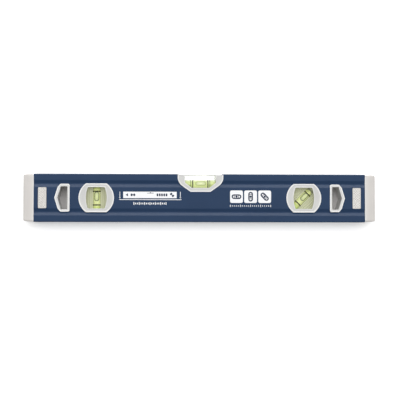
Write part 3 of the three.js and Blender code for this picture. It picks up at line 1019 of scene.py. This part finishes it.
def make_side_vial(vial, side, angle):
    """A side vial with its two bezels and its carrier, at an angle about the Z axis."""
    x = side * SIDE_X
    bezel = side_bezel()
    for face, turn in FACES:
        node = f"{vial}_vial_{face}_bezel"
        made = [moved(turn(bezel), x)]
        piece(f"{vial}_{face}_bezel", made, BEZEL_PLASTIC, "light_plastic", [node])
    along = np.array((-math.sin(angle), math.cos(angle)))
    upper, lower, rest = (
        float((cad_centre(f"{vial}_vial_{name}")[:2] - (x, 0)) @ along)
        for name in ("upper_ring", "lower_ring", "bubble")
    )
    make_carrier(vial, x, angle, [upper, lower])

    def add(name, parts, *finish, body="level", node=None):
        node = f"{vial}_vial_{node or name}"
        made = [moved(spun(part, angle), x) for part in parts]
        piece(f"{vial}_{name}", made, *finish, [node], body)

    add("tube", [tube()], SLEEVE, "clear_acrylic")
    add("liquid", [side_liquid()], SIDE_GREEN, "vial_liquid")
    plug = lathe([(radius, y - TUBE["half"]) for radius, y in VIAL_PLUG])
    add("plug", [plug], WHITE_PLASTIC, "white_plastic")
    for name, y in (("upper_ring", upper), ("lower_ring", lower)):
        add(name, [ring(**SIDE_RING, y=y)], MARKER_BLACK, "marker_black")
    lenses = [moved(bubble_lens(SIDE_LIQUID, **SIDE_BUBBLE, side=face), y=rest) for face in (1, -1)]
    finish = (SIDE_AIR, "vial_bubble")
    add("bubble_lens", lenses, *finish, body=vial + "_bubble", node="bubble")


make_side_vial("plumb", -1, 0.0)
make_side_vial("diagonal", 1, -math.pi / 4)

# ---- centre vial ----
SKIRT_DEPTH = 2.8
FLANGE = {"half": (3.425, 0.625), "x": 21.125, "y": 25.975}
CENTRE_BLOCK = {"half": (20.5, 6.9), "y": 17.8, "depth": 8.5}
BOSS = {"top": 26.5, "depth": 11.7}
CENTRE_BORE = {"radius": 4.55, "closed_end": -18.2}
CENTRE_LIQUID = {"radius": 4.68, "half": 18.0}
CENTRE_BUBBLE = {"half_width": 2.5, "half_length": 6.3, "aside": -0.6}
CENTRE_RING = {"above": 0.12, "thick": 0.08, "width": 1.15}
OUTER_LINE = {"above": 0.12, "thick": 0.06, "width": 0.85, "further": 2.2}


def saddle_polygon():
    """Counter-clockwise corners of the saddle: its outside, then its window, right side first."""
    (low, shoulder), inner = SADDLE_WINDOW, SADDLE_WINDOW[1][0]
    right = [(*SADDLE_BOTTOM, 1.2)]
    right += [(*corner, 8.0) for corner in SADDLE_SHOULDER]
    right += [(*corner, 0.5) for corner in SADDLE_ARM]
    right += [(inner, 22.0, 0.0), (inner, 19.8, 0.0), (*shoulder, 1.0), (*low, 1.0)]
    return both_halves(right)


def saddle_rails(inset):
    """The saddle's outside and its window, each from the top of the left arm to the right one's."""
    corners = moved_in(saddle_polygon(), inset)
    outside = corners[15:] + corners[:5]
    window = corners[14:4:-1]
    return [rounded(half, closed=False) for half in (outside, window)]


def centre_bezel():
    """The saddle as a band from the top of its left arm to the top of its right arm."""
    skirt = FACE - SKIRT_DEPTH
    # [outside or window, drawn in, height, painted highlight], over the front, down the window and
    # back up; the painted highlight lies on the bead and the window's lip.
    stations = [
        (0, 0.0, None, 0.3),
        (0, 0.0, FRONT - 0.5, 0.8),
        (0, 0.16, FRONT - 0.15, 1.0),
        (0, 0.5, FRONT, 1.0),
        (0, 1.0, FRONT - 0.03, 0.85),
        (0, 1.4, FRONT - 0.2, 0.1),
        (1, 1.1, FRONT - 0.22, 0.0),
        (1, 0.7, FRONT - 0.08, 0.4),
        (1, 0.3, FRONT - 0.1, 0.4),
        (1, 0.0, FRONT - 0.5, 0.1),
        (1, 0.0, skirt, 0.0),
        (0, SADDLE_LAP + SEAT_LAP, skirt, 0.0),
        (0, SADDLE_LAP + SEAT_LAP, None, 0.0),
    ]
    rails, painted_lights = rows_of([(saddle_rails(inset)[i], z, painted_light) for i, inset, z, painted_light in stations])
    points, faces, _ = skin(list(np.stack(rails, axis=1)))
    parts = [(points, faces, np.tile(painted_lights, len(rails[0])))]
    for side in (-1, 1):
        flange = rectangle(*FLANGE["half"], 0.3, side * FLANGE["x"], FLANGE["y"])
        parts.append(slab(flange, GAP, skirt - 0.05, 0.1))
    return parts


def on_centre(part):
    """Laid along the centre vial, with what was up pointing right."""
    return moved(spun(part, -math.pi / 2), y=CENTRE_Y)


def centre_block():
    """The clear block: a wide base, a boss that fills the window, and the bore for the liquid."""
    right = [(*corner, 1.0) for corner in SADDLE_WINDOW]
    right.append((SADDLE_WINDOW[1][0], BOSS["top"] + SEAT_LAP, 0.6))
    corners = moved_in(both_halves(right), SEAT_LAP)
    boss = slab(corners, -BOSS["depth"], BOSS["depth"], 0.35, 5)
    base = rectangle(*CENTRE_BLOCK["half"], 0.5, y=CENTRE_BLOCK["y"])
    depth = CENTRE_BLOCK["depth"]
    body = mesh_object("centre_block", [slab(base, -depth, depth, 0.3)])
    boolean(body, mesh_object("boss", [boss]), "UNION")
    radius, end = CENTRE_BORE["radius"], CENTRE_BORE["closed_end"]
    bore = on_centre(lathe([(0, end), (radius, end), (radius, 30), (0, 30)], 72))
    return boolean(body, mesh_object("bore", [bore]), "DIFFERENCE")


def centre_liquid():
    """The centre vial's liquid, with painted shade that deepens its colour from the middle to both
    ends.
    """
    radius, half = CENTRE_LIQUID["radius"], CENTRE_LIQUID["half"]
    right = [(5.0, 0.0), (9.2, 0.1), (10.9, 0.4), (13.0, 0.65), (16.0, 0.9), (17.9, 1.0)]
    stations = [(-y, depth) for y, depth in right[::-1]] + right
    profile = [(0, -half), (radius - 0.1, -half)] + [(radius, y) for y, _ in stations]
    profile += [(radius - 0.1, half), (0, half)]
    return lathe(profile, values=[1.0, 1.0, *(depth for _, depth in stations), 1.0, 1.0])


def centre_mark(shape, y):
    """A line round the liquid, above the bubble's crown, so that the bubble passes under it."""
    inner = CENTRE_LIQUID["radius"] + shape["above"]
    return [on_centre(ring(inner, inner + shape["thick"], shape["width"], y, 0.02))]


for face, flip in (("front", 1), ("back", -1)):
    parts = [mapped(part, lambda p: p * (1, 1, flip)) for part in centre_bezel()]
    node = f"centre_vial_{face}_bezel"
    piece(f"centre_{face}_bezel", parts, BEZEL_PLASTIC, "light_plastic", [node])

settle(centre_block(), BLOCK, "clear_acrylic", ["centre_vial_block"])
made = [on_centre(centre_liquid())]
piece("centre_liquid", made, CENTRE_GREEN, "vial_liquid", ["centre_vial_liquid"])
for name, side in ENDS:
    node = f"centre_vial_{name}_ring"
    y = side * abs(cad_centre(node)[0])
    made = centre_mark(CENTRE_RING, y)
    piece(f"centre_{name}_ring", made, MARKER_BLACK, "marker_black", [node])
    made = centre_mark(OUTER_LINE, y + side * OUTER_LINE["further"])
    piece(f"centre_{name}_outer_line", made, MARKER_FAINT, "marker_black")
lenses = []
for face in (1, -1):
    lens = bubble_lens(CENTRE_LIQUID["radius"], **CENTRE_BUBBLE, side=face)
    lenses.append(on_centre(moved(lens, y=cad_centre("centre_vial_bubble")[0])))
finish = (CENTRE_AIR, "vial_bubble")
piece("centre_bubble_lens", lenses, *finish, ["centre_vial_bubble"], "centre_bubble")

for node in ("centre_vial_cradle", "centre_vial_plug"):
    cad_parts[node].material_slots[0].material = WHITE_PLASTIC

# ---- printed marks ----
INK = 0.03
INK_SUNK = 0.02
LABEL_ROW = 3.5  # height of the middle of what is printed on the label


def ink(lift):
    """Where a layer of ink starts and ends, in height."""
    return FACE - INK_SUNK + lift, FACE + INK + lift


def mark(corners, lift=0.0):
    return prism(rounded(corners, 3), *ink(lift))


def patch(half_width, half_height, radius=0.1, x=0.0, y=0.0, lift=0.0):
    return mark(rectangle(half_width, half_height, radius, x, y), lift)


def ticks(first, pitch, count, y, half_width, half_heights, every):
    """A row of short ticks with a tall one first and then every so many."""
    tall, short = half_heights
    heights = [short if i % every else tall for i in range(count)]
    return [patch(half_width, h, 0.1, first + i * pitch, y) for i, h in enumerate(heights)]


def frame_mark(half_width, half_height, width, radius, lift):
    """A rounded frame of ink."""
    low, high = ink(lift)
    outer = rounded(rectangle(half_width, half_height, radius))
    hole = (half_width - width, half_height - width, max(radius - width, LEAST_MOVED_CORNER))
    inner = rounded(rectangle(*hole))
    return skin([at(outer, low), at(outer, high), at(inner, high), at(inner, low)], closed=True)


def vial_sign(x, y, size, angle, lift):
    """A small sign of a vial: its outline, two lines and a bubble, turned by an angle."""
    wide = size * 0.24
    parts = [frame_mark(size * 0.5, wide, size * 0.13, wide * 0.98, lift)]
    for middle in (-0.22, 0.22):
        parts.append(patch(size * 0.03, wide * 0.8, 0.02, middle * size, lift=lift))
    parts.append(patch(size * 0.12, wide * 0.42, wide * 0.4, lift=lift))
    return [moved(spun(part, angle), x, y) for part in parts]


def block_sign(x, y, angle, lift):
    """Two rounded blocks joined by a bar, turned by an angle."""
    parts = [patch(1.0, 1.35, 0.5, middle, lift=lift) for middle in (-1.5, 1.5)]
    parts.append(patch(0.6, 0.35, 0.05, lift=lift))
    return [moved(spun(part, angle), x, y) for part in parts]


def left_label():
    """A white label with plain signs, and under it a dimension line and a row of ticks."""
    piece("left_label", [patch(30.3, 3.675, 0.3, -57.3, 3.425)], WHITE_INK, "white_plastic")
    row = LABEL_ROW
    signs = block_sign(-76.6, row, 0.0, INK) + block_sign(-32.3, row, -math.pi / 4, INK)
    signs.append(mark([(-84.9, row, 0.2), (-82.2, row - 1.7, 0.2), (-82.2, row + 1.7, 0.2)], INK))
    signs += [patch(0.9, 1.5, 0.3, -48.8 + i * 2.55, row, INK) for i in range(5)]
    signs.append(patch(3.6, 0.25, x=-56.9, y=5.45, lift=INK))
    signs.append(patch(0.6, 0.4, x=-56.9, y=6.1, lift=INK))
    piece("left_label_marks", signs, NAVY_INK, "marker_black")

    lines = [patch(35.25, 0.35, x=-56.85, y=-1.9)]
    for x in (-91.4, -22.9):
        lines.append(patch(0.3, 4.0, x=x, y=3.1))
        lines.append(mark([(x - 1.0, 0.7, 0.05), (x, -1.2, 0.05), (x + 1.0, 0.7, 0.05)]))
    lines += ticks(-75.5, 2.02, 19, -6.3, 0.5, (1.5, 0.95), 3)
    piece("left_lines", lines, WHITE_INK, "white_plastic")


def right_squares():
    """Three white squares with a sign of each vial, over a row of ticks."""
    squares, signs = [], []
    for i, angle in enumerate((0.0, math.pi / 2, -math.pi / 4)):
        x, y = 41.0 + i * 16.1, 1.7
        squares.append(patch(7.3, 7.1, 1.8, x, y))
        signs += vial_sign(x, y, 11.0, angle, INK)
    squares += ticks(34.0, 2.3, 21, -8.8, 0.35, (1.3, 0.75), 5)
    piece("right_squares", squares, WHITE_INK, "white_plastic")
    piece("right_signs", signs, NAVY_INK, "marker_black")


left_label()
right_squares()

# ---- stage ----
FLOOR_HALF = 4.0
FLOOR_DROP = 0.0002
# Painted light: the floor is left bright in this patch behind the centre vial.
PAINTED_LIGHT_PATCH = {"half_width": 20.5, "bottom": 10.5}  # bright part of the floor behind the centre vial


def make_stage():
    """A floor that glows white, with painted shade under the level, a painted light patch behind
    the centre vial, and a glow that grows away from the level.
    """
    mesh = bpy.data.meshes.new("floor")
    signs = [(-1, -1), (1, -1), (1, 1), (-1, 1)]
    corners = [(x * FLOOR_HALF, y * FLOOR_HALF, -FLOOR_DROP) for x, y in signs]
    mesh.from_pydata(corners, [], [(0, 1, 2, 3)])
    made = Finish("floor", Roughness=0.9, Specular_IOR_Level=0.1)

    def edge(value, distance, inside=0.0, outside=1.0):
        """A soft edge just before a distance in millimetres."""
        return made.ranged(value, inside, outside, (distance - 1.5) * MM, (distance - 0.5) * MM)

    pale = made.clouds(2, (0.88, 0.88, 0.88, 1), (0.9, 0.9, 0.9, 1), 1)
    along, up = made.coordinate("X"), made.coordinate("Y")
    off_middle = made.math("ABSOLUTE", along)
    past_edge = edge(made.math("ABSOLUTE", up), EDGE)
    outside = made.math("MAXIMUM", edge(off_middle, LEVEL_END), past_edge)
    across_window = edge(off_middle, PAINTED_LIGHT_PATCH["half_width"], 1.0, 0.0)
    in_window = made.math("MULTIPLY", across_window, edge(up, PAINTED_LIGHT_PATCH["bottom"]))
    lit = made.math("MAXIMUM", outside, in_window)
    # Painted shade: a darker grey floor under the level, outside the painted light patch.
    made.color(made.mix(lit, (0.69, 0.67, 0.66, 1), pale))
    # Painted glow that lightens the cast shadow: none under the level, 0.34 near it, rising to 0.95
    # between 0.8 m and 2.4 m away.
    distance = made.nodes.new("ShaderNodeVectorMath")
    distance.operation = "LENGTH"
    made.links.new(made.place, distance.inputs[0])
    far = made.ranged(distance.outputs["Value"], 0.34, 0.95, 0.8, 2.4)
    made.glow(made.mix(lit, (0.0, 0.0, 0.0, 1), far), 1.0)
    mesh.materials.append(made.material)
    floor = add_object("floor", mesh)


def area_light(name, place, size, power):
    """A rectangular light that points at the origin."""
    light = bpy.data.lights.new(name, "AREA")
    light.shape = "RECTANGLE"
    light.size, light.size_y = size
    light.energy = power
    obj = add_object(name, light)
    obj.location = place
    obj.rotation_euler = (-obj.location).to_track_quat("-Z", "Y").to_euler()
    return obj


def make_world():
    """White to look at; as a light it is brighter from beyond the upper edge."""
    world = bpy.data.worlds.new("studio")
    world.use_nodes = True
    nodes, links = world.node_tree.nodes, world.node_tree.links
    split = nodes.new("ShaderNodeSeparateXYZ")
    links.new(nodes.new("ShaderNodeTexCoord").outputs["Generated"], split.inputs["Vector"])
    level = map_range(nodes, links, split.outputs["Y"], 0.15, 0.75, -1.0, 1.0)
    soft = nodes["Background"]
    links.new(level, soft.inputs["Strength"])
    white = nodes.new("ShaderNodeBackground")
    choice = nodes.new("ShaderNodeMixShader")
    links.new(nodes.new("ShaderNodeLightPath").outputs["Is Camera Ray"], choice.inputs["Fac"])
    for i, shader in enumerate((soft, white)):
        shader.inputs["Color"].default_value = (1, 1, 1, 1)
        links.new(shader.outputs["Background"], choice.inputs[i + 1])
    links.new(choice.outputs["Shader"], nodes["World Output"].inputs["Surface"])
    bpy.context.scene.world = world


def make_lights():
    make_world()
    key = area_light("key", (0.0, 0.5, 2.1), (2.4, 1.4), 37)
    key.visible_glossy = False
    sheen = area_light("sheen", (0.0, 1.5, 1.31), (2.6, 0.5), 27)
    sheen.visible_diffuse = False


def make_camera():
    camera = bpy.data.cameras.new("camera")
    camera.sensor_width = 36
    camera.lens = 87.1
    camera.clip_start = 0.01
    camera.clip_end = 20
    obj = add_object("camera", camera)
    obj.location = (-0.04693, -0.03913, 1.12238)
    obj.rotation_euler = [math.radians(a) for a in (1.924, -2.421, 0.055)]
    bpy.context.scene.camera = obj


make_stage()
make_lights()
make_camera()
bpy.context.scene.view_settings.view_transform = "Standard"
